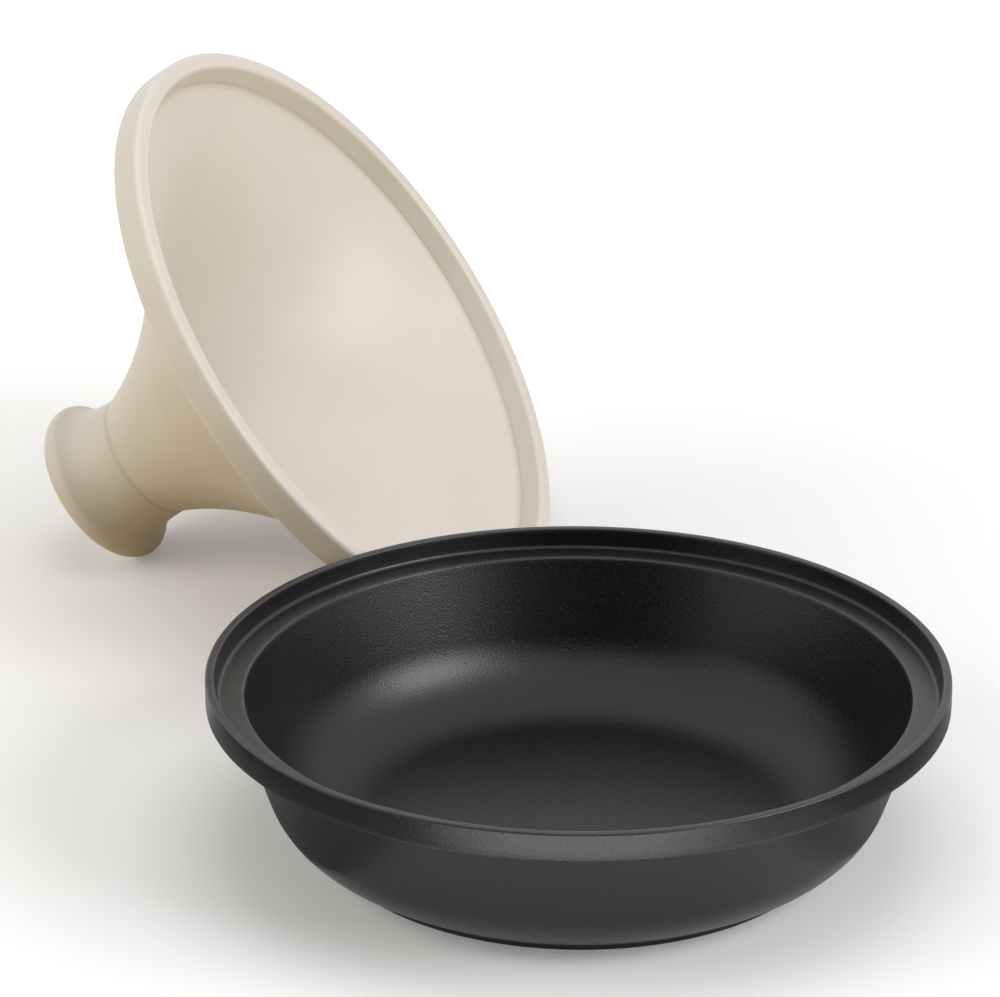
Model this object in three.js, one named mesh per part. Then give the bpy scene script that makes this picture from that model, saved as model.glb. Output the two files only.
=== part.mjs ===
// Tagine: a shallow cast-iron pan with a rim that seats a lid, and its tall hollow ceramic lid.
// The lid is off the pan and lies on its side on the table behind it, on its band and its knob.
// Millimetres, +Z up. Origin: centre of the pan's flat base, on the table.
// Both pieces are turned shapes: each is one closed section revolved about its own axis.
import * as THREE from "three";

const degrees = Math.PI / 180;

// Pan: rim and lid seat
const panRimRadius = 149;
const panHeight = 72.8;
const panBandHeight = 11.2;
const lipThickness = 3.5;
const lipDraft = 1.4;
const ledgeDepth = 8.4;
const ledgeWidth = 10.4;

// Pan: bowl and base
const panWall = 4.5;
const panFloor = 5.5;
const wallLean = 18.5 * degrees;
const innerBend = 40;
const outerBend = 39;
const undersideSlope = 32 * degrees;
const footInset = 14.5;
const footHeight = 2;

// Pan: cast edges
const footEdge = 0.6;
const bandEdge = 1;
const underBandFillet = 3;
const lipEdge = 1.2;
const ledgeFillet = 2;
const mouthEdge = 1.6;

// Lid: rim and band; the rim drops inside the pan's lip and stands on the ledge
const lidClearance = 1.3;
const lidRimThickness = 8;
const lidRimDraft = 3;
const lidRimEdge = 2.2;
const lidBandHeight = 13.8;
const lidBandEdge = 1.5;
const coneStepIn = 5;
const coneStepRise = 1.5;
const coneStepFillet = 1;
const funnelFillet = 1.6;

// Lid: wall, cone and neck; heights are measured from the rim's plane towards the knob
const lidWall = 6.4;
const coneFootSlope = 17 * degrees;
const coneFootReach = 43;
const neckRadius = 30.5;
const neckHeight = 124;
const coneTopSlope = 19 * degrees;
const coneTopReach = 46;
const hollowHeight = 130;
const hollowEndRound = 4;

// Lid: knob
const knobRadius = 39.2;
const knobHeight = 151.8;
const knobEdge = 7;
const neckReach = 17;
const knobReach = 9;
const dishRadius = 29;
const dishDepth = 12;
const dishEdge = 2;

// Where the lid lies, seen from above: bearing of its rim's centre from the pan, and where its knob points
const lidBearing = 110.3 * degrees;
const lidTuckIn = 9.9;
const knobBearing = 163.1 * degrees;

// Facets: steps round the axis, along a curve and round an edge, and how far an arc may stand off its facets.
// A corner counts as straight when the cosine of half its opening is below the limit.
const turnSegments = 64;
const curveSteps = 10;
const edgeSteps = 5;
const facetError = 0.08;
const straightLimit = 0.001;

// Sizes that follow
const lipFootRadius = panRimRadius - lipThickness - lipDraft;
const mouthRadius = lipFootRadius - ledgeWidth;
const ledgeHeight = panHeight - ledgeDepth;
const bandBottom = panHeight - panBandHeight;
const lidRadius = lipFootRadius - lidClearance;
const lidHeight = knobHeight + knobEdge;

// One corner of a section: radius from the axis, height, and the radius that rounds the corner off.
function corner(radius, height, round = 0) {
  return { point: new THREE.Vector2(radius, height), round };
}

// Points of an arc that is tangent to both edges of a corner, or the corner itself where it is sharp.
function roundedCorner(previous, { point, round }, next) {
  const back = previous.clone().sub(point);
  const ahead = next.clone().sub(point);
  const halfOpening = Math.abs(back.angleTo(ahead)) / 2;
  if (round === 0 || Math.cos(halfOpening) < straightLimit) {
    return [point];
  }
  const longestCut = Math.min(back.length(), ahead.length()) / 2;
  const cut = Math.min(round / Math.tan(halfOpening), longestCut);
  const radius = cut * Math.tan(halfOpening);
  const start = back.setLength(cut).add(point);
  const end = ahead.setLength(cut).add(point);
  const middle = start.clone().add(end).multiplyScalar(0.5).sub(point);
  const centre = middle.setLength(Math.hypot(cut, radius)).add(point);
  const turn = Math.PI - 2 * halfOpening;
  const steps = Math.max(2, Math.ceil(turn / (2 * Math.acos(1 - Math.min(1, facetError / radius)))));
  const firstAngle = start.clone().sub(centre).angle();
  const side = Math.sign(start.clone().sub(centre).cross(end.clone().sub(centre)));
  return Array.from({ length: steps + 1 }, (_, i) => {
    const angle = firstAngle + (side * turn * i) / steps;
    return new THREE.Vector2(Math.cos(angle), Math.sin(angle)).multiplyScalar(radius).add(centre);
  });
}

// Outline of a section: straight runs between corners, each corner rounded by its own radius.
function outline(corners) {
  const last = corners.length - 1;
  return corners.flatMap((item, i) =>
    i === 0 || i === last
      ? [item.point]
      : roundedCorner(corners[i - 1].point, item, corners[i + 1].point)
  );
}

// Sharp corners along a curve.
function along(curve, steps) {
  return curve.getPoints(steps).map((point) => corner(point.x, point.y));
}

// A curve set off to the left of its own direction by a wall's thickness.
function setOff(curve, thickness, steps) {
  return curve.getPoints(steps).map((point, i) => {
    const ahead = curve.getTangent(i / steps);
    return corner(point.x - ahead.y * thickness, point.y + ahead.x * thickness);
  });
}

// A section turned about the upright axis through its own origin.
function turned(name, corners, finish) {
  const geometry = new THREE.LatheGeometry(outline(corners), turnSegments);
  geometry.rotateX(Math.PI / 2);
  const mesh = new THREE.Mesh(geometry, new THREE.MeshStandardMaterial(finish));
  mesh.name = name;
  return mesh;
}

// Radius of the bowl's inner wall at a height; the outer wall runs parallel to it.
function innerWallRadius(height) {
  return mouthRadius - (ledgeHeight - height) * Math.tan(wallLean);
}

function outerWallRadius(height) {
  return innerWallRadius(height) + panWall / Math.cos(wallLean);
}

// Pan: up from the base round the outside, over the band and lip, across the ledge and down into the bowl.
function panSection() {
  const footRadius = outerWallRadius(0) - footInset;
  const undersideRun = 1 / Math.tan(undersideSlope);
  const bendHeight =
    (footInset + footHeight * undersideRun) / (undersideRun - Math.tan(wallLean));
  return [
    corner(0, 0),
    corner(footRadius, 0, footEdge),
    corner(footRadius, footHeight),
    corner(outerWallRadius(bendHeight), bendHeight, outerBend),
    corner(outerWallRadius(bandBottom), bandBottom, underBandFillet),
    corner(panRimRadius, bandBottom, bandEdge),
    corner(panRimRadius, panHeight, lipEdge),
    corner(panRimRadius - lipThickness, panHeight, lipEdge),
    corner(lipFootRadius, ledgeHeight, ledgeFillet),
    corner(mouthRadius, ledgeHeight, mouthEdge),
    corner(innerWallRadius(panFloor), panFloor, innerBend),
    corner(0, panFloor),
  ];
}

// Cone: a trumpet curve from the step behind the band up to the neck.
function coneCurve() {
  const foot = new THREE.Vector2(lidRadius - coneStepIn, lidBandHeight + coneStepRise);
  const top = new THREE.Vector2(neckRadius, neckHeight);
  const footPull = new THREE.Vector2(-Math.cos(coneFootSlope), Math.sin(coneFootSlope));
  const topPull = new THREE.Vector2(Math.sin(coneTopSlope), -Math.cos(coneTopSlope));
  return new THREE.CubicBezierCurve(
    foot,
    footPull.multiplyScalar(coneFootReach).add(foot),
    topPull.multiplyScalar(coneTopReach).add(top),
    top
  );
}

// Knob's side: leaves the neck along the axis, flares out and runs along the axis again at its widest.
function knobSide() {
  return new THREE.CubicBezierCurve(
    new THREE.Vector2(neckRadius, neckHeight),
    new THREE.Vector2(neckRadius, neckHeight + neckReach),
    new THREE.Vector2(knobRadius, knobHeight - knobReach),
    new THREE.Vector2(knobRadius, knobHeight)
  );
}

// Knob's edge: a quarter round from its side to its flat end.
function knobEdgeCurve() {
  return new THREE.EllipseCurve(knobRadius - knobEdge, knobHeight, knobEdge, knobEdge, 0, Math.PI / 2);
}

// Shallow round dish in the knob's end: part of a ball that meets the end face at the dish's radius.
function dishCorners() {
  const ballRadius = (dishRadius ** 2 + dishDepth ** 2) / (2 * dishDepth);
  const ballHeight = lidHeight - dishDepth + ballRadius;
  const halfAngle = Math.asin(dishRadius / ballRadius);
  const dish = new THREE.EllipseCurve(
    0, ballHeight, ballRadius, ballRadius, halfAngle - Math.PI / 2, -Math.PI / 2, true
  );
  const [edge, ...rest] = along(dish, edgeSteps);
  return [corner(edge.point.x, edge.point.y, dishEdge), ...rest.slice(0, -1), corner(0, lidHeight - dishDepth)];
}

// Lid: out along the hollow to the drafted wall inside the rim, round the rim and band, then up the cone,
// neck and knob to the dish.
function lidSection() {
  const cone = coneCurve();
  const rimInner = lidRadius - lidRimThickness;
  const rimFoot = rimInner - lidRimDraft;
  const bore = neckRadius - lidWall;
  const funnel = setOff(cone, lidWall, curveSteps).reverse();
  const funnelFoot = funnel.at(-1).point;
  const inside = funnel.filter(({ point }) => point.x < rimFoot - funnelFillet && point.x > bore);
  const rimStepHeight = funnelFoot.y + (funnelFoot.x - rimFoot) * Math.tan(coneFootSlope);
  return [
    corner(0, hollowHeight),
    corner(bore, hollowHeight, hollowEndRound),
    ...inside,
    corner(rimFoot, rimStepHeight, funnelFillet),
    corner(rimInner, 0, lidRimEdge),
    corner(lidRadius, 0, lidRimEdge),
    corner(lidRadius, lidBandHeight, lidBandEdge),
    corner(lidRadius - coneStepIn, lidBandHeight + coneStepRise, coneStepFillet),
    ...along(cone, curveSteps).slice(1),
    ...along(knobSide(), curveSteps).slice(1),
    ...along(knobEdgeCurve(), edgeSteps).slice(1),
    ...dishCorners(),
  ];
}

// Points of a section that a straight edge can touch from outside, from the widest point to the highest.
function outsideHull(points) {
  const hull = [points.reduce((widest, point) => (point.x > widest.x ? point : widest))];
  for (;;) {
    const from = hull.at(-1);
    const higher = points.filter((point) => point.y > from.y);
    if (higher.length === 0) {
      return hull;
    }
    const spread = (point) => (point.x - from.x) / (point.y - from.y);
    hull.push(higher.reduce((best, point) => (spread(point) > spread(best) ? point : best)));
  }
}

// The lid lies on the longest straight edge of its outside: from the back of its band to the knob's edge.
function lidPose() {
  const hull = outsideHull(outline(lidSection()));
  const spans = hull.slice(1).map((to, i) => ({ from: hull[i], to, length: to.distanceTo(hull[i]) }));
  const { from, to } = spans.reduce((longest, span) => (span.length > longest.length ? span : longest));
  const lean = Math.atan2(from.x - to.x, to.y - from.y);
  const height = from.x * Math.cos(lean) + from.y * Math.sin(lean);
  return { lean, height };
}

const pan = turned("pan", panSection(), { color: 0x2a2b2c, roughness: 0.5, metalness: 0 });
const lid = turned("lid", lidSection(), { color: 0xd9d0c1, roughness: 0.25, metalness: 0 });

const { lean, height } = lidPose();
lid.rotation.x = Math.PI / 2 + lean;
lid.position.z = height;

const lidPlace = new THREE.Group();
const lidDistance = panRimRadius + lidRadius - lidTuckIn;
lidPlace.position.set(lidDistance * Math.cos(lidBearing), lidDistance * Math.sin(lidBearing), 0);
lidPlace.rotation.z = knobBearing + Math.PI / 2;
lidPlace.add(lid);

const tagine = new THREE.Group();
tagine.name = "tagine";
tagine.add(pan, lidPlace);

export default tagine;
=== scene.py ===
"""Looks of a tagine: a black enamelled cast-iron pan, and the cream glazed ceramic lid that lies behind it.

The object's sizes are in millimetres until a mesh is made, and the studio's are in metres. The frame is
the part's own: +Z up, origin at the middle of the pan's base, and the lid lies on its band and its knob.
"""

import math

import bpy
import numpy as np
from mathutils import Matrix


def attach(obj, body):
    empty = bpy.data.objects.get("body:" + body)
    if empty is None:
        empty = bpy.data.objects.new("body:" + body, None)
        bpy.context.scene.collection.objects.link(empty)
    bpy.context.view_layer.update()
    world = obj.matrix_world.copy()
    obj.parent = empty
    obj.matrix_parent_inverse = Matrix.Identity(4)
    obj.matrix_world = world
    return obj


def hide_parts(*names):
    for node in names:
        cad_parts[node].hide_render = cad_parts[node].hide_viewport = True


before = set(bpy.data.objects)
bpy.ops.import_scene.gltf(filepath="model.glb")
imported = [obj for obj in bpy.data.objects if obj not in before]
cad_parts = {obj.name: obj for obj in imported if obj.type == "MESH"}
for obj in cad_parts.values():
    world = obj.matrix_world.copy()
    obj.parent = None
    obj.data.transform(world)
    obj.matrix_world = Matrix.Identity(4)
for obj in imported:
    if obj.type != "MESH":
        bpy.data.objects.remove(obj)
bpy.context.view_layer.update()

MM = 0.001
RIGHT, AWAY, UP = np.eye(3)

# Pan
PAN_RIM_RADIUS = 149.0
PAN_HEIGHT = 72.8
PAN_BAND_HEIGHT = 11.2
LIP_THICKNESS = 3.5
LIP_DRAFT = 1.4
LEDGE_DEPTH = 8.4
LEDGE_WIDTH = 10.4
PAN_WALL = 4.5
PAN_FLOOR = 5.5
WALL_LEAN = math.radians(18.5)
INNER_BEND = 40.0
OUTER_BEND = 39.0
UNDERSIDE_SLOPE = math.radians(32.0)
FOOT_INSET = 14.5
FOOT_HEIGHT = 2.0

LIP_FOOT_RADIUS = PAN_RIM_RADIUS - LIP_THICKNESS - LIP_DRAFT
MOUTH_RADIUS = LIP_FOOT_RADIUS - LEDGE_WIDTH
LEDGE_HEIGHT = PAN_HEIGHT - LEDGE_DEPTH
BAND_BOTTOM = PAN_HEIGHT - PAN_BAND_HEIGHT

# Edges of the casting; from the band up they are a little crisper than the solid's
FOOT_EDGE = 0.6
UNDER_BAND_FILLET = 3.0
BAND_EDGE = 0.6
LIP_EDGE = 0.8
LEDGE_FILLET = 1.8
MOUTH_EDGE = 1.2

# Lid, heights from the rim's plane towards the knob
LID_CLEARANCE = 1.3
LID_RADIUS = LIP_FOOT_RADIUS - LID_CLEARANCE
LID_RIM_THICKNESS = 8.0
LID_RIM_DRAFT = 3.0
LID_RIM_EDGE = 2.2
LID_BAND_HEIGHT = 13.8
LID_BAND_EDGE = 1.5
LID_WALL = 6.4
CONE_STEP_IN = 5.0
CONE_STEP_RISE = 1.5
CONE_FOOT_SLOPE = math.radians(17.0)
CONE_FOOT_REACH = 43.0
CONE_TOP_SLOPE = math.radians(19.0)
CONE_TOP_REACH = 46.0
FUNNEL_FILLET = 1.6
FUNNEL_STOP = 4.0
NECK_RADIUS = 30.5
NECK_HEIGHT = 124.0
NECK_CREASE = 0.25
HOLLOW_HEIGHT = 130.0
HOLLOW_END_ROUND = 4.0

# Knob; its flare starts a little later than the solid's
KNOB_RADIUS = 39.2
KNOB_HEIGHT = 151.8
KNOB_EDGE = 7.0
KNOB_UNDER_EDGE = 4.5
KNOB_FLARE = math.radians(50.0)
KNOB_REACH = 9.0
NECK_REACH = 12.0
DISH_RADIUS = 29.0
DISH_DEPTH = 12.0
DISH_EDGE = 2.0

# Where the lid lies, seen from above
LID_BEARING = math.radians(110.3)
LID_TUCK_IN = 9.9
LID_DISTANCE = PAN_RIM_RADIUS + LID_RADIUS - LID_TUCK_IN
KNOB_BEARING = math.radians(163.1)

# Fineness of the meshes: numbers of steps, then lengths of steps
TURNS = 256
CONE_STEPS = 80
NECK_STEPS = 40
KNOB_EDGE_STEPS = 20
KNOB_UNDER_STEPS = 16
DISH_STEPS = 16
FEWEST_ARC_STEPS = 4
STEPS_PER_RADIAN = 40
PAN_CHORD = 0.2
LID_CHORD = 0.3
HOLLOW_CHORD = 0.6
PAN_LONGEST_STEP = 2.0
LID_LONGEST_STEP = 2.6
STRAIGHT_LIMIT = 0.001

# Marks on the meshes: a rounding of the full edge's radius or less is marked in full
FULL_EDGE_RADIUS = 1.2
EDGE_REACH = 0.8
CREASE_REACH = 1.6

# Waver of the edges; each wave has its periods round the axis, its phase and its strength
PAN_RIPPLE = 0.12
LID_RIPPLE = 0.15
RIPPLE_MIDDLE = 0.5
RIPPLE_SWING = 0.2
RIPPLE_WAVES = ((3, 0.7, 1.0), (7, 2.1, 0.7), (13, 4.0, 0.5), (29, 1.2, 0.35))

# Studio; a path holds (x, y) points, and a shade is a level of grey
FLOOR_HALF_SIZE = 5.0
FLOOR_HEIGHT = -0.4 * MM
# Middle of the floor's painted shade, where its painted glow is weakest
PAINTED_SHADE_MIDDLE = (-0.05, 0.12, 0.0)
SCREEN_FOOT = FLOOR_HEIGHT / 2
# Dark screens that only reflections show: painted reflections in the pan
FRONT_SCREEN_RADIUS = 2.2
FRONT_SCREEN_LEFT = math.radians(-136.0)
FRONT_SCREEN_RIGHT = math.radians(-56.0)
FRONT_SCREEN_STEPS = 20
FRONT_SCREEN_HEIGHT = 1.6
SIDE_SCREEN_HEIGHT = 0.07
LEFT_SCREEN_PATH = [(-0.26, -0.4), (-0.26, 0.1)]
RIGHT_SCREEN_PATH = [(0.25, -0.4), (0.25, 0.1)]
SCREEN_SHADE = 0.004
# Grey strips on the floor beside the pan that only reflections show: a painted reflection on its sides
REFLECTION_PATCH_WIDTH = 0.15
LEFT_REFLECTION_PATCH_PATH = [(-0.26, -0.34), (-0.26, 0.1)]
LEFT_REFLECTION_PATCH_SHADE = 0.46
RIGHT_REFLECTION_PATCH_PATH = [(0.27, -0.12), (0.27, 0.12)]
RIGHT_REFLECTION_PATCH_SHADE = 0.5
AMBIENT_LEVEL = 0.3
LIGHT_AIM = (-0.1, 0.2, 0.1)
WHITE_LIGHT = (1.0, 1.0, 1.0)
WARM_LIGHT = (1.0, 0.95, 0.86)

# Camera, fitted to the photograph, which is 1000 pixels wide
CAMERA_AIM = np.array([-0.031245, 0.0, 0.145822])
CAMERA_PITCH = 0.38559
CAMERA_DISTANCE = 1.7
FOCAL_PIXELS = 4322.0
PICTURE_WIDTH = 1000.0
SENSOR_WIDTH = 36.0
FARTHEST_SEEN = 50.0


# Sections

def rounded(corners, chord):
    """Outline through (radius, height, rounding) corners. A corner with a rounding is cut back along both
    edges by the rounding over the tangent of half its opening, but at most half of each edge, and a tangent
    arc joins the cuts. Its steps are about a chord long, but a wide arc has no more than a fixed number of
    them per radian."""
    points = np.array([c[:2] for c in corners], float)
    runs = [points[:1]]
    for before, here, after, (_, _, rounding) in zip(points, points[1:], points[2:], corners[1:]):
        back, ahead = before - here, after - here
        back_length, ahead_length = np.hypot(*back), np.hypot(*ahead)
        back, ahead = back / back_length, ahead / ahead_length
        half_opening = math.acos(np.clip(back @ ahead, -1.0, 1.0)) / 2
        if rounding == 0 or math.cos(half_opening) < STRAIGHT_LIMIT:
            runs.append(here[None])
            continue
        cut = min(rounding / math.tan(half_opening), back_length / 2, ahead_length / 2)
        radius = cut * math.tan(half_opening)
        middle = back + ahead
        centre = here + middle / np.hypot(*middle) * math.hypot(cut, radius)
        start, end = here + back * cut - centre, here + ahead * cut - centre
        turn = math.atan2(start[0] * end[1] - start[1] * end[0], start @ end)
        steps = max(FEWEST_ARC_STEPS, math.ceil(abs(turn) * min(radius / chord, STEPS_PER_RADIAN)))
        angle = math.atan2(start[1], start[0]) + turn * np.arange(steps + 1) / steps
        runs.append(centre + radius * np.stack([np.cos(angle), np.sin(angle)], 1))
    return np.concatenate(runs + [points[-1:]])


def evened(points, longest):
    """The same outline with each straight run split into equal steps no longer than the given length."""
    runs = np.diff(points, axis=0)
    counts = np.maximum(1, np.ceil(np.hypot(*runs.T) / longest)).astype(int)
    run = np.repeat(np.arange(len(runs)), counts)
    first = np.repeat(np.cumsum(counts) - counts, counts)
    fraction = (np.arange(counts.sum()) - first) / counts[run]
    return np.concatenate([points[run] + fraction[:, None] * runs[run], points[-1:]])


def bezier(a, b, c, d, steps):
    """Cubic curve from a to d that leaves a towards b and reaches d from c, and its directions."""
    t = np.linspace(0.0, 1.0, steps + 1)[:, None]
    a, b, c, d = (np.array(p, float) for p in (a, b, c, d))
    place = (1 - t) ** 3 * a + 3 * t * (1 - t) ** 2 * b + 3 * t**2 * (1 - t) * c + t**3 * d
    way = (1 - t) ** 2 * (b - a) + 2 * t * (1 - t) * (c - b) + t**2 * (d - c)
    return place, way / np.hypot(*way.T)[:, None]


def arc(across, along, size, start, end, steps):
    """Points of a circle of the given radius about (across, along), from one angle to another."""
    angle = np.linspace(start, end, steps + 1)
    return np.stack([across + size * np.cos(angle), along + size * np.sin(angle)], 1)


def inner_wall(height):
    """Radius of the bowl's straight wall at a height: it leans in from the mouth."""
    return MOUTH_RADIUS - (LEDGE_HEIGHT - height) * math.tan(WALL_LEAN)


def outer_wall(height):
    """Radius of the pan's straight outside at a height: the bowl's, set off by the wall's thickness."""
    return inner_wall(height) + PAN_WALL / math.cos(WALL_LEAN)


def pan_section():
    """Up from the base round the outside, over the band and the lip, across the ledge and into the bowl.
    The underside's slope rises from the foot and meets the straight outside at the bend."""
    foot = outer_wall(0.0) - FOOT_INSET
    run = 1 / math.tan(UNDERSIDE_SLOPE)
    bend = (FOOT_INSET + FOOT_HEIGHT * run) / (run - math.tan(WALL_LEAN))
    corners = [
        (0.0, 0.0, 0.0),
        (foot, 0.0, FOOT_EDGE),
        (foot, FOOT_HEIGHT, 0.0),
        (outer_wall(bend), bend, OUTER_BEND),
        (outer_wall(BAND_BOTTOM), BAND_BOTTOM, UNDER_BAND_FILLET),
        (PAN_RIM_RADIUS, BAND_BOTTOM, BAND_EDGE),
        (PAN_RIM_RADIUS, PAN_HEIGHT, LIP_EDGE),
        (PAN_RIM_RADIUS - LIP_THICKNESS, PAN_HEIGHT, LIP_EDGE),
        (LIP_FOOT_RADIUS, LEDGE_HEIGHT, LEDGE_FILLET),
        (MOUTH_RADIUS, LEDGE_HEIGHT, MOUTH_EDGE),
        (inner_wall(PAN_FLOOR), PAN_FLOOR, INNER_BEND),
        (0.0, PAN_FLOOR, 0.0),
    ]
    return evened(rounded(corners, PAN_CHORD), PAN_LONGEST_STEP)


def knob_runs(neck):
    """The runs of the section from the neck on: a cubic flare, an arc under the knob's edge, a quarter
    circle over it, the rounded edge of the dish, and the dish, which is part of a ball."""
    under_middle = KNOB_RADIUS - KNOB_UNDER_EDGE
    under = arc(under_middle, KNOB_HEIGHT, KNOB_UNDER_EDGE, -KNOB_FLARE, 0.0, KNOB_UNDER_STEPS)
    flare_pull = KNOB_REACH * np.array([-math.sin(KNOB_FLARE), -math.cos(KNOB_FLARE)])
    side, _ = bezier(neck, neck + (0.0, NECK_REACH), under[0] + flare_pull, under[0], NECK_STEPS)
    edge = arc(KNOB_RADIUS - KNOB_EDGE, KNOB_HEIGHT, KNOB_EDGE, 0.0, math.pi / 2, KNOB_EDGE_STEPS)
    ball = (DISH_RADIUS**2 + DISH_DEPTH**2) / (2 * DISH_DEPTH)
    ball_height = KNOB_HEIGHT + KNOB_EDGE - DISH_DEPTH + ball
    dish_rim = math.asin(DISH_RADIUS / ball) - math.pi / 2
    dish = arc(0.0, ball_height, ball, dish_rim, -math.pi / 2, DISH_STEPS)
    end = rounded([(*edge[-1], 0.0), (*dish[0], DISH_EDGE), (*dish[1], 0.0)], LID_CHORD)
    return [side[1:-1], under[:-1], edge[:-1], end[:-1], dish[1:]]


def lid_section():
    """Out along the hollow, round the rim and the band, then up the cone and the neck to the knob's dish.
    The cone is a cubic curve, and the hollow is that curve set off by the wall's thickness."""
    foot = np.array([LID_RADIUS - CONE_STEP_IN, LID_BAND_HEIGHT + CONE_STEP_RISE])
    neck = np.array([NECK_RADIUS, NECK_HEIGHT])
    foot_pull = CONE_FOOT_REACH * np.array([-math.cos(CONE_FOOT_SLOPE), math.sin(CONE_FOOT_SLOPE)])
    neck_pull = CONE_TOP_REACH * np.array([math.sin(CONE_TOP_SLOPE), -math.cos(CONE_TOP_SLOPE)])
    cone, way = bezier(foot, foot + foot_pull, neck + neck_pull, neck, CONE_STEPS)
    funnel = (cone + LID_WALL * np.stack([-way[:, 1], way[:, 0]], 1))[::-1]
    rim_inner = LID_RADIUS - LID_RIM_THICKNESS
    rim_foot = rim_inner - LID_RIM_DRAFT
    rim_step = funnel[-1, 1] + (funnel[-1, 0] - rim_foot) * math.tan(CONE_FOOT_SLOPE)
    bore = NECK_RADIUS - LID_WALL
    inside = funnel[(funnel[:, 0] > bore) & (funnel[:, 0] < rim_foot - FUNNEL_STOP)]
    rim = rounded([
        (*inside[-1], 0.0),
        (rim_foot, rim_step, FUNNEL_FILLET),
        (rim_inner, 0.0, LID_RIM_EDGE),
        (LID_RADIUS, 0.0, LID_RIM_EDGE),
        (LID_RADIUS, LID_BAND_HEIGHT, LID_BAND_EDGE),
        (*foot, 0.0),
    ], LID_CHORD)
    hollow_end = rounded([
        (0.0, HOLLOW_HEIGHT, 0.0),
        (bore, HOLLOW_HEIGHT, HOLLOW_END_ROUND),
        (*inside[0], 0.0),
    ], HOLLOW_CHORD)
    crease = np.array([neck - NECK_CREASE * way[-1], neck, neck + (0.0, NECK_CREASE)])
    shell_runs = [hollow_end[:-1], inside[:-1], rim[:-1], cone[:-1], crease]
    section = np.concatenate(shell_runs + knob_runs(neck))
    section[-1, 0] = 0.0
    return evened(section, LID_LONGEST_STEP)


def resting_line(section):
    """Lean and height of a lid that lies on the longest straight edge of its outside. The edge is found by
    walking the outside from its widest point, each time to the point that keeps all others on one side."""
    spot = section[np.argmax(section[:, 0])]
    longest = (0.0, None, None)
    while True:
        higher = section[section[:, 1] > spot[1]]
        if len(higher) == 0:
            break
        step = higher[np.argmax((higher[:, 0] - spot[0]) / (higher[:, 1] - spot[1]))]
        longest = max(longest, (float(np.hypot(*(step - spot))), tuple(spot), tuple(step)))
        spot = step
    _, low, high = longest
    lean = math.atan2(low[0] - high[0], high[1] - low[1])
    return lean, low[0] * math.cos(lean) + low[1] * math.sin(lean)


def edge_strength(section, side, reach):
    """How strongly each point of an outline sits on an edge: the turn there over the length there, times
    the full edge's radius, held between 0 and 1 and spread along the outline by the reach. Side is 1 for
    outward edges and -1 for creases."""
    run = np.diff(section, axis=0)
    length = np.hypot(*run.T)
    angle = np.unwrap(np.arctan2(run[:, 1], run[:, 0]))
    bend = np.zeros(len(section))
    bend[1:-1] = np.diff(angle) / (0.5 * (length[1:] + length[:-1]))
    strength = np.clip(side * bend * FULL_EDGE_RADIUS, 0.0, 1.0)
    place = np.concatenate([[0.0], np.cumsum(length)])
    near = np.exp(-((place[:, None] - place[None, :]) / reach) ** 2)
    return (near * strength[None, :]).max(1)


# Meshes

def placed(name, data):
    """A new object at the origin that holds the given data."""
    piece = bpy.data.objects.new(name, data)
    bpy.context.scene.collection.objects.link(piece)
    return piece


def ripple_share(t):
    """Share of the ripple at turn t: its middle, and a swing of four waves, each weaker than the last."""
    waves = sum(strength * np.sin(periods * t + phase) for periods, phase, strength in RIPPLE_WAVES)
    return RIPPLE_MIDDLE + RIPPLE_SWING * waves


def turned(name, section, origin, across, aside, axis, ripple):
    """Surface of revolution. The point at turn t of section point (r, h) is
    origin + r cos t * across + r sin t * aside + h * axis. Both ends of the section lie on the axis and
    are single points. The ripple draws each edge in by a few slow waves round the axis, as a cast or thrown
    edge has."""
    ring = section[1:-1]
    t = 2 * math.pi * np.arange(TURNS) / TURNS
    edge = edge_strength(section, 1, EDGE_REACH)
    crease = edge_strength(section, -1, CREASE_REACH)
    radius = ring[:, :1] - ripple * edge[1:-1, None] * ripple_share(t)[None, :]
    grid = (
        (radius * np.cos(t))[..., None] * across
        + (radius * np.sin(t))[..., None] * aside
        + (ring[:, 1:] + 0 * t)[..., None] * axis
    )
    poles = section[[0, -1], 1][:, None] * axis
    points = (np.concatenate([grid.reshape(-1, 3), poles]) + origin) * MM
    rings = len(ring)
    index = np.arange(rings * TURNS).reshape(rings, TURNS)
    onward = np.roll(index, -1, axis=1)
    quads = np.stack([index[:-1], onward[:-1], onward[1:], index[1:]], -1).reshape(-1, 4)
    first = np.stack([np.full(TURNS, rings * TURNS), onward[0], index[0]], -1)
    last = np.stack([np.full(TURNS, rings * TURNS + 1), index[-1], onward[-1]], -1)
    loops = np.concatenate([first.ravel(), last.ravel(), quads.ravel()])
    sizes = np.concatenate([np.full(2 * TURNS, 3), np.full(len(quads), 4)])
    mesh = bpy.data.meshes.new(name)
    mesh.vertices.add(len(points))
    mesh.vertices.foreach_set("co", points.ravel())
    mesh.loops.add(len(loops))
    mesh.loops.foreach_set("vertex_index", loops)
    mesh.polygons.add(len(sizes))
    mesh.polygons.foreach_set("loop_start", np.cumsum(sizes) - sizes)
    mesh.polygons.foreach_set("use_smooth", np.ones(len(sizes), bool))
    for mark, strength in (("edge", edge), ("crease", crease)):
        layer = mesh.attributes.new(mark, "FLOAT", "POINT")
        values = np.concatenate([np.repeat(strength[1:-1], TURNS), strength[[0, -1]]])
        layer.data.foreach_set("value", values)
    mesh.update(calc_edges=True)
    mesh.validate()
    return placed(name, mesh)


# Nodes

def new_material(name):
    """An empty material and its node tree."""
    material = bpy.data.materials.new(name)
    material.use_nodes = True
    tree = material.node_tree
    tree.nodes.clear()
    return material, tree


def put(tree, socket, value):
    """Feed an input: a value that is a socket is linked to it, any other is set."""
    if isinstance(value, bpy.types.NodeSocket):
        tree.links.new(value, socket)
    else:
        socket.default_value = value


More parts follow.
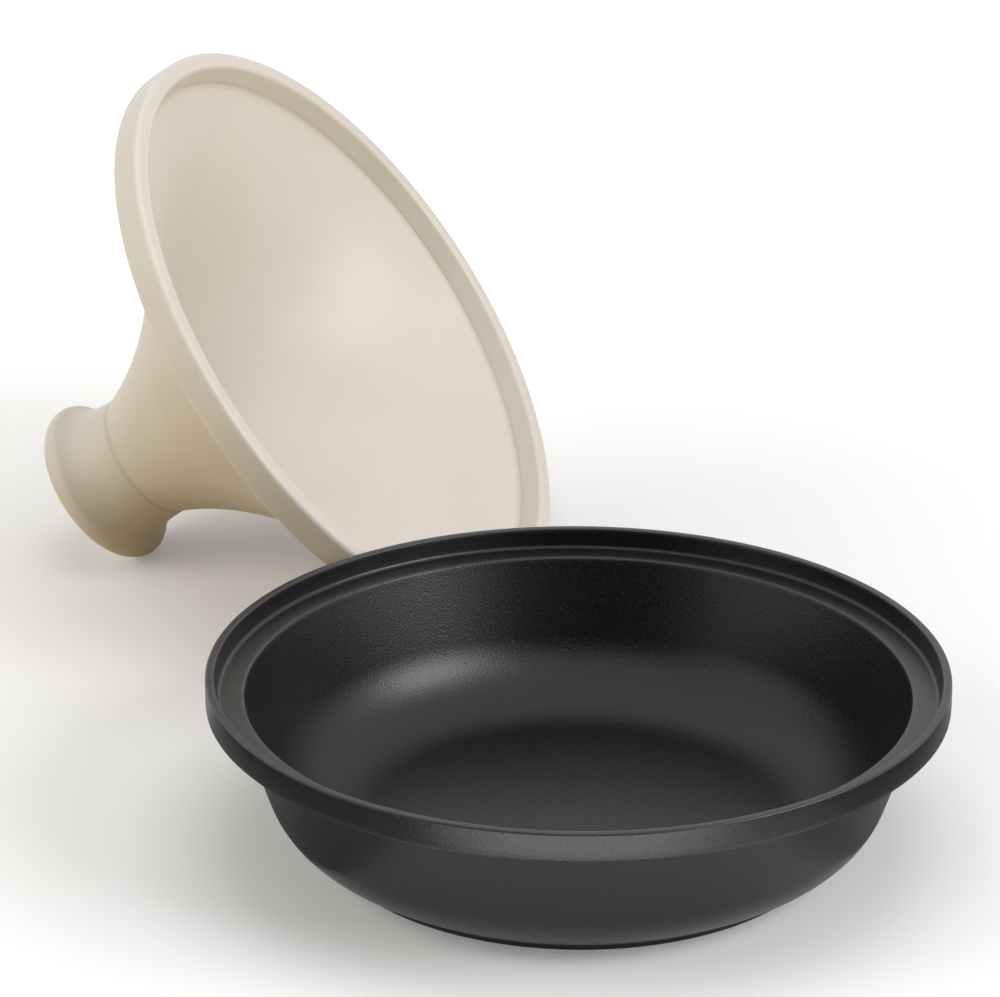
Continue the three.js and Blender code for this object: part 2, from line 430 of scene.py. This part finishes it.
def add(tree, kind, inputs=None, **settings):
    """A node with its settings and inputs."""
    node = tree.nodes.new(kind)
    for key, value in settings.items():
        setattr(node, key, value)
    for key, value in (inputs or {}).items():
        put(tree, node.inputs[key], value)
    return node


def finished(tree, shader):
    """Make a shader the surface of its material."""
    out = add(tree, "ShaderNodeOutputMaterial")
    tree.links.new(shader.outputs[0], out.inputs[0])


def grey(level):
    """An even grey of the given level."""
    return (level, level, level, 1.0)


def mixed(tree, factor, first, second):
    """First colour where the factor is 0 and second where it is 1."""
    return add(tree, "ShaderNodeMix", {0: factor, 6: first, 7: second}, data_type="RGBA").outputs[2]


def ranged(tree, value, given, wanted):
    """A value carried from a given range to a wanted one and held inside it."""
    inputs = {0: value, 1: given[0], 2: given[1], 3: wanted[0], 4: wanted[1]}
    return add(tree, "ShaderNodeMapRange", inputs).outputs[0]


def combined(tree, operation, first, second):
    """Two values put together by the named operation."""
    return add(tree, "ShaderNodeMath", {0: first, 1: second}, operation=operation).outputs[0]


def noise(tree, place, scale, detail, roughness=0.5):
    """Value of a noise at a place."""
    inputs = {"Vector": place, "Scale": scale, "Detail": detail, "Roughness": roughness}
    return add(tree, "ShaderNodeTexNoise", inputs).outputs["Fac"]


# Effects that both finishes use

def effect(name, inputs, output):
    """An empty node group with named inputs and one named output, each given with its kind of socket, and
    the sockets inside it to read from and to feed."""
    group = bpy.data.node_groups.new(name, "ShaderNodeTree")
    for label, kind in inputs.items():
        group.interface.new_socket(label, in_out="INPUT", socket_type=kind)
    label, kind = output
    group.interface.new_socket(label, in_out="OUTPUT", socket_type=kind)
    given = group.nodes.new("NodeGroupInput").outputs
    result = group.nodes.new("NodeGroupOutput").inputs[label]
    return group, given, result


def marked_coat_effect():
    """The coat's colour, carried towards the marked coat's by up to the amount as a mark rises from the
    start to 1. It is used for paler edges, partly a thinner coat and partly a painted highlight, and for
    a darker, warmer tone towards creases."""
    colour, value = "NodeSocketColor", "NodeSocketFloat"
    inputs = {"Coat": colour, "Marked Coat": colour, "Mark": value, "Start": value, "Amount": value}
    group, given, result = effect("marked_coat", inputs, ("Colour", colour))
    share = ranged(group, given["Mark"], (given["Start"], 1.0), (0.0, given["Amount"]))
    put(group, result, mixed(group, share, given["Coat"], given["Marked Coat"]))
    return group


def slow_cloud_effect():
    """Slow clouds in a coat: a noise at a place, with its values from low to high carried to a new range."""
    value = "NodeSocketFloat"
    inputs = {"Place": "NodeSocketVector", "Scale": value, "Detail": value, "Roughness": value}
    inputs |= {"Low": value, "High": value, "New Low": value, "New High": value}
    group, given, result = effect("slow_cloud", inputs, ("Level", value))
    cloud = noise(group, given["Place"], given["Scale"], given["Detail"], given["Roughness"])
    low_high = (given["Low"], given["High"])
    put(group, result, ranged(group, cloud, low_high, (given["New Low"], given["New High"])))
    return group


def with_mark(tree, mark, coat, marked_coat, start, amount):
    """Colour of a coat with the marked coat's where the mesh has the named mark."""
    strength = add(tree, "ShaderNodeAttribute", attribute_name=mark).outputs["Fac"]
    inputs = {"Coat": coat, "Marked Coat": marked_coat, "Mark": strength, "Start": start, "Amount": amount}
    return add(tree, "ShaderNodeGroup", inputs, node_tree=MARKED_COAT).outputs["Colour"]


def with_clouds(tree, place, scale, detail, roughness, given, wanted):
    """Level of the slow clouds at a place, carried from a given range to a wanted one."""
    inputs = {"Place": place, "Scale": scale, "Detail": detail, "Roughness": roughness}
    inputs |= {"Low": given[0], "High": given[1], "New Low": wanted[0], "New High": wanted[1]}
    return add(tree, "ShaderNodeGroup", inputs, node_tree=SLOW_CLOUD).outputs["Level"]


MARKED_COAT = marked_coat_effect()
SLOW_CLOUD = slow_cloud_effect()


# Finishes

def black_enamel():
    """Satin black enamel: a fine grain with paler specks and small pits, and a paler coat on edges, partly
    a thinner coat and partly a painted highlight.
    """
    material, tree = new_material("black_enamel")
    black = grey(0.003)
    pale_speck = grey(0.012)
    # Paler edges: partly a thinner coat, partly a painted highlight on the rounded edges
    thin_coat_and_painted_highlight = (0.02, 0.02, 0.0205, 1.0)
    place = add(tree, "ShaderNodeTexCoord").outputs["Object"]
    grain = noise(tree, place, scale=1150.0, detail=2.0, roughness=0.6)
    specks = ranged(tree, grain, (0.56, 0.74), (0.0, 1.0))
    pits = ranged(tree, noise(tree, place, scale=420.0, detail=1.0), (0.68, 0.78), (0.0, 0.5))
    colour = mixed(tree, specks, black, pale_speck)
    colour = with_mark(tree, "edge", colour, thin_coat_and_painted_highlight, start=0.3, amount=0.6)
    dull_clouds = with_clouds(
        tree, place, scale=14.0, detail=3.0, roughness=0.5, given=(0.3, 0.7), wanted=(0.31, 0.36)
    )
    dull_specks = ranged(tree, specks, (0.0, 1.0), (0.0, 0.08))
    height = combined(tree, "SUBTRACT", grain, pits)
    bump = add(tree, "ShaderNodeBump", {"Strength": 0.5, "Distance": 0.0002, "Height": height})
    finished(tree, add(tree, "ShaderNodeBsdfPrincipled", {
        "Base Color": colour,
        "Roughness": combined(tree, "ADD", dull_clouds, dull_specks),
        "Specular IOR Level": 0.5,
        "Normal": bump.outputs[0],
    }))
    return material


def cream_glaze():
    """Glossy cream glaze: slow clouds of tone, a paler coat on the edges, partly thinner glaze and partly
    a painted highlight, and a darker, warmer tone towards the creases."""
    material, tree = new_material("cream_glaze")
    cream = (0.69, 0.644, 0.574, 1.0)
    pale_cream = (0.73, 0.685, 0.617, 1.0)
    # Paler edges: partly thinner glaze, partly a painted highlight on the rounded edges
    thin_coat_and_painted_highlight = (0.82, 0.78, 0.71, 1.0)
    # A darker, warmer tone towards the creases
    darker_crease_tone = (0.56, 0.49, 0.39, 1.0)
    place = add(tree, "ShaderNodeTexCoord").outputs["Object"]
    clouds = with_clouds(
        tree, place, scale=11.0, detail=4.0, roughness=0.55, given=(0.35, 0.65), wanted=(0.0, 1.0)
    )
    colour = mixed(tree, clouds, cream, pale_cream)
    colour = with_mark(tree, "edge", colour, thin_coat_and_painted_highlight, start=0.25, amount=0.5)
    colour = with_mark(tree, "crease", colour, darker_crease_tone, start=0.1, amount=0.6)
    swell = noise(tree, place, scale=70.0, detail=2.0)
    bump = add(tree, "ShaderNodeBump", {"Strength": 0.12, "Distance": 0.0012, "Height": swell})
    finished(tree, add(tree, "ShaderNodeBsdfPrincipled", {
        "Base Color": colour,
        "Roughness": 0.5,
        "Coat Weight": 0.25,
        "Coat Roughness": 0.28,
        "Normal": bump.outputs[0],
        "Coat Normal": bump.outputs[0],
    }))
    return material


# Studio

def in_view(tree):
    """1 for what the camera sees, straight, mirrored or through glass, and 0 for light on its way."""
    path = add(tree, "ShaderNodeLightPath").outputs
    seen = combined(tree, "MAXIMUM", path["Is Camera Ray"], path["Is Glossy Ray"])
    return combined(tree, "MAXIMUM", seen, path["Is Transmission Ray"])


def studio_floor():
    """Pale floor: in view it has the object's soft shadow, and a painted glow that is weakest near the
    object and grows to white away from it, a painted shade round the object. The light that it throws
    back up has a warm tone."""
    material, tree = new_material("studio_floor")
    pale = grey(0.82)
    warm = (0.60, 0.455, 0.20, 1.0)
    place = add(tree, "ShaderNodeTexCoord").outputs["Object"]
    distance = add(tree, "ShaderNodeVectorMath", {0: place, 1: PAINTED_SHADE_MIDDLE}, operation="DISTANCE")
    away = distance.outputs["Value"]
    # Painted glow: weak near the object and rising to white far from it, a painted shade round the object
    near = ranged(tree, away, (0.2, 0.7), (0.16, 0.5))
    far = ranged(tree, away, (0.8, 3.5), (0.0, 0.5))
    painted_glow_strength = combined(tree, "ADD", near, far)
    shaded = add(tree, "ShaderNodeBsdfDiffuse", {"Color": pale})
    painted_glow = add(tree, "ShaderNodeEmission", {"Color": grey(1.0), "Strength": painted_glow_strength})
    seen = add(tree, "ShaderNodeAddShader", {0: shaded.outputs[0], 1: painted_glow.outputs[0]})
    unseen = add(tree, "ShaderNodeBsdfDiffuse", {"Color": warm})
    both = {0: in_view(tree), 1: unseen.outputs[0], 2: seen.outputs[0]}
    finished(tree, add(tree, "ShaderNodeMixShader", both))
    return material


def floor():
    """One square a little below the pan's base, so that the two never lie in one plane."""
    mesh = bpy.data.meshes.new("floor")
    corners = FLOOR_HALF_SIZE * np.array([(-1, -1, 0), (1, -1, 0), (1, 1, 0), (-1, 1, 0)], float)
    corners[:, 2] = FLOOR_HEIGHT
    mesh.from_pydata(corners.tolist(), [], [(0, 1, 2, 3)])
    mesh.materials.append(studio_floor())
    placed("floor", mesh)


def screen(name, path, rise, shade=SCREEN_SHADE):
    """Screen that starts just above the floor along a path of (x, y) points, and stands or lies along the
    given rise. It is a painted reflection: only reflections show it, as the dark or grey that the pan
    mirrors, and it neither lights nor shades anything. Two neighbours on the path, and the same two
    carried along the rise, are the corners of one quad."""
    foot = np.column_stack([path, np.full(len(path), SCREEN_FOOT)])
    points = np.concatenate([foot, foot + rise])
    i = np.arange(len(path) - 1)
    quads = np.stack([i, i + 1, i + 1 + len(path), i + len(path)], 1)
    mesh = bpy.data.meshes.new(name)
    mesh.from_pydata(points.tolist(), [], quads.tolist())
    material, tree = new_material(name)
    finished(tree, add(tree, "ShaderNodeBsdfDiffuse", {"Color": grey(shade)}))
    mesh.materials.append(material)
    piece = placed(name, mesh)
    piece.visible_camera = False
    piece.visible_diffuse = False
    piece.visible_shadow = False


def softbox(name, place, aim, size, power, colour=WHITE_LIGHT, mirrored=True):
    """Rectangular studio light at a place, turned towards a point; it can be kept out of reflections."""
    lamp = bpy.data.lights.new(name, "AREA")
    lamp.shape = "RECTANGLE"
    lamp.size, lamp.size_y = size
    lamp.energy = power
    lamp.color = colour
    light = placed(name, lamp)
    light.location = place
    light.visible_camera = False
    light.visible_glossy = mirrored
    x, y, z = np.array(aim) - np.array(place)
    light.rotation_euler = (math.atan2(math.hypot(x, y), -z), 0.0, math.atan2(y, x) - math.pi / 2)


def surroundings():
    """White in view, and an even grey for the light that falls on the object."""
    world = bpy.data.worlds.new("surroundings")
    bpy.context.scene.world = world
    world.use_nodes = True
    tree = world.node_tree
    tree.nodes.clear()
    white = add(tree, "ShaderNodeBackground", {"Color": grey(1.0), "Strength": 1.0})
    ambient = add(tree, "ShaderNodeBackground", {"Color": grey(1.0), "Strength": AMBIENT_LEVEL})
    inputs = {0: in_view(tree), 1: ambient.outputs[0], 2: white.outputs[0]}
    both = add(tree, "ShaderNodeMixShader", inputs)
    out = add(tree, "ShaderNodeOutputWorld")
    tree.links.new(both.outputs[0], out.inputs[0])


def camera():
    """Camera that looks along +Y, and down by its pitch, at a point from a distance."""
    lens = bpy.data.cameras.new("camera")
    lens.sensor_width = SENSOR_WIDTH
    lens.lens = FOCAL_PIXELS * SENSOR_WIDTH / PICTURE_WIDTH
    lens.clip_end = FARTHEST_SEEN
    eye = placed("camera", lens)
    back_and_up = math.sin(CAMERA_PITCH) * UP - math.cos(CAMERA_PITCH) * AWAY
    eye.location = CAMERA_AIM + CAMERA_DISTANCE * back_and_up
    eye.rotation_euler = (math.pi / 2 - CAMERA_PITCH, 0.0, 0.0)
    bpy.context.scene.camera = eye


# The object

def level_way(bearing):
    """Level direction at a bearing, counted from +X towards +Y."""
    return math.cos(bearing) * RIGHT + math.sin(bearing) * AWAY


pan = turned("enamelled_pan", pan_section(), np.zeros(3), RIGHT, AWAY, UP, PAN_RIPPLE)
pan.data.materials.append(black_enamel())
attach(pan, "pan")
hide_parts("pan")

section = lid_section()
lean, rim_height = resting_line(section)
knob_way = level_way(KNOB_BEARING)
lid_axis = math.cos(lean) * knob_way - math.sin(lean) * UP
lid_down = -math.sin(lean) * knob_way - math.cos(lean) * UP
lid_aside = np.cross(lid_axis, lid_down)
rim_centre = LID_DISTANCE * level_way(LID_BEARING) + rim_height * UP
lid = turned("glazed_lid", section, rim_centre, lid_down, lid_aside, lid_axis, LID_RIPPLE)
lid.data.materials.append(cream_glaze())
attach(lid, "lid")
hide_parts("lid")

# The studio

floor()
# Painted reflections: dark screens in front and at the sides that only the pan's reflections show
front = arc(0.0, 0.0, FRONT_SCREEN_RADIUS, FRONT_SCREEN_LEFT, FRONT_SCREEN_RIGHT, FRONT_SCREEN_STEPS)
screen("front_screen", front, FRONT_SCREEN_HEIGHT * UP)
screen("left_screen", LEFT_SCREEN_PATH, SIDE_SCREEN_HEIGHT * UP)
screen("right_screen", RIGHT_SCREEN_PATH, SIDE_SCREEN_HEIGHT * UP)
# Grey strips that only the pan's reflections show: a painted reflection on its sides
screen("left_reflection_patch", LEFT_REFLECTION_PATCH_PATH, REFLECTION_PATCH_WIDTH * RIGHT, LEFT_REFLECTION_PATCH_SHADE)
screen("right_reflection_patch", RIGHT_REFLECTION_PATCH_PATH, -REFLECTION_PATCH_WIDTH * RIGHT, RIGHT_REFLECTION_PATCH_SHADE)
surroundings()
softbox(
    "top_softbox", place=(0.1, 0.1, 1.9), aim=(0.0, 0.1, 0.0), size=(1.6, 1.4), power=12.0, mirrored=False
)
softbox(
    "left_softbox", place=(-1.5, -0.2, 0.9), aim=LIGHT_AIM, size=(1.2, 0.8), power=10.5,
    colour=WARM_LIGHT, mirrored=False
)
softbox("key_softbox", place=(1.5, -0.7, 1.15), aim=LIGHT_AIM, size=(1.2, 0.9), power=22.0)
softbox(
    "floor_panel", place=(0.0, -0.335, 0.005), aim=(0.0, -0.335, 1.0), size=(0.2, 0.35), power=0.75
)
camera()

view = bpy.context.scene.view_settings
view.view_transform = "Standard"
